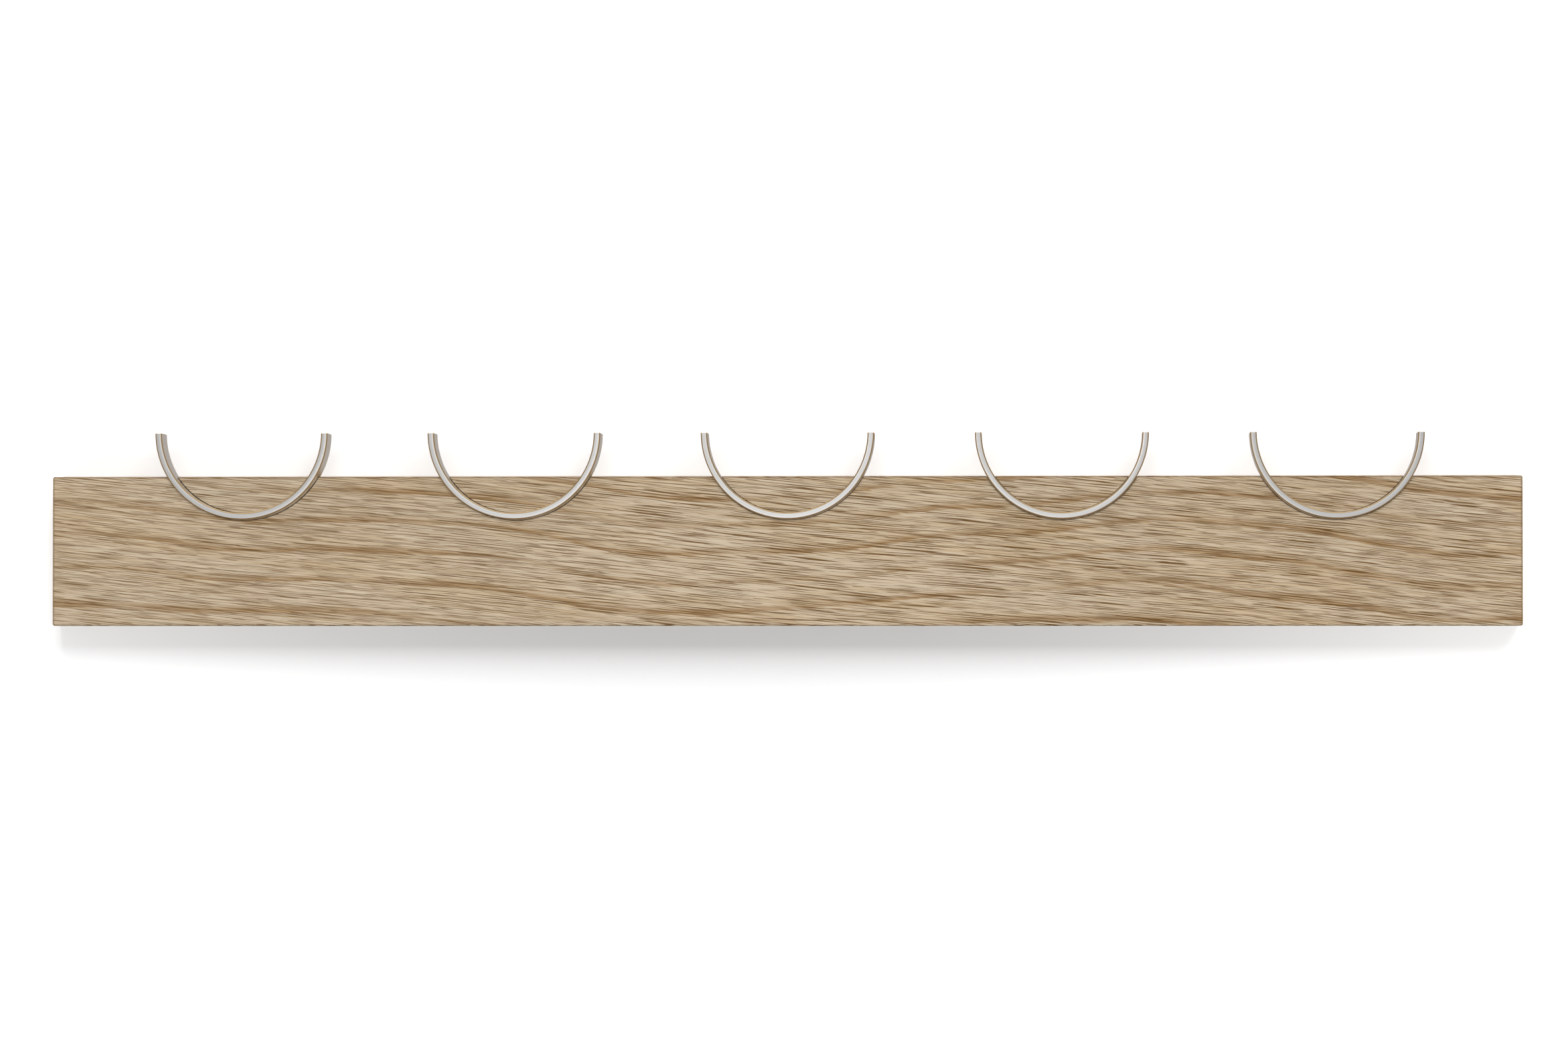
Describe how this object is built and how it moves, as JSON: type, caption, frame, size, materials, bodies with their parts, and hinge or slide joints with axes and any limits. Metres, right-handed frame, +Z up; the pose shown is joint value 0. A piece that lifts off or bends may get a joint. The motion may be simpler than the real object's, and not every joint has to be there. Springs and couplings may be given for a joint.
{
  "type": "wall hook rack",
  "caption": "Wall rack: a flat oak board with a row of half-ring steel hooks let into its front and keyhole hangers let into its back.",
  "frame": {"origin": "centre of the board's back face, the face that lies against the wall", "axes": "+X along the board, to the right as seen from the front; +Y out of the back, into the wall; +Z up"},
  "size_m": [0.6, 0.0285, 0.0786],
  "materials": {
    "oak": "light oak, matte oiled, open grain",
    "steel": "satin steel strip",
    "zinc": "bright zinc plate"
  },
  "bodies": {
    "root": {"oak_board": "oak", "hook_1": "steel", "hook_2": "steel", "hook_3": "steel", "hook_4": "steel", "hook_5": "steel", "hanger_left": "zinc", "hanger_left_screw_upper": "zinc", "hanger_left_screw_lower": "zinc", "hanger_right": "zinc", "hanger_right_screw_upper": "zinc", "hanger_right_screw_lower": "zinc"}
  },
  "joints": []
}
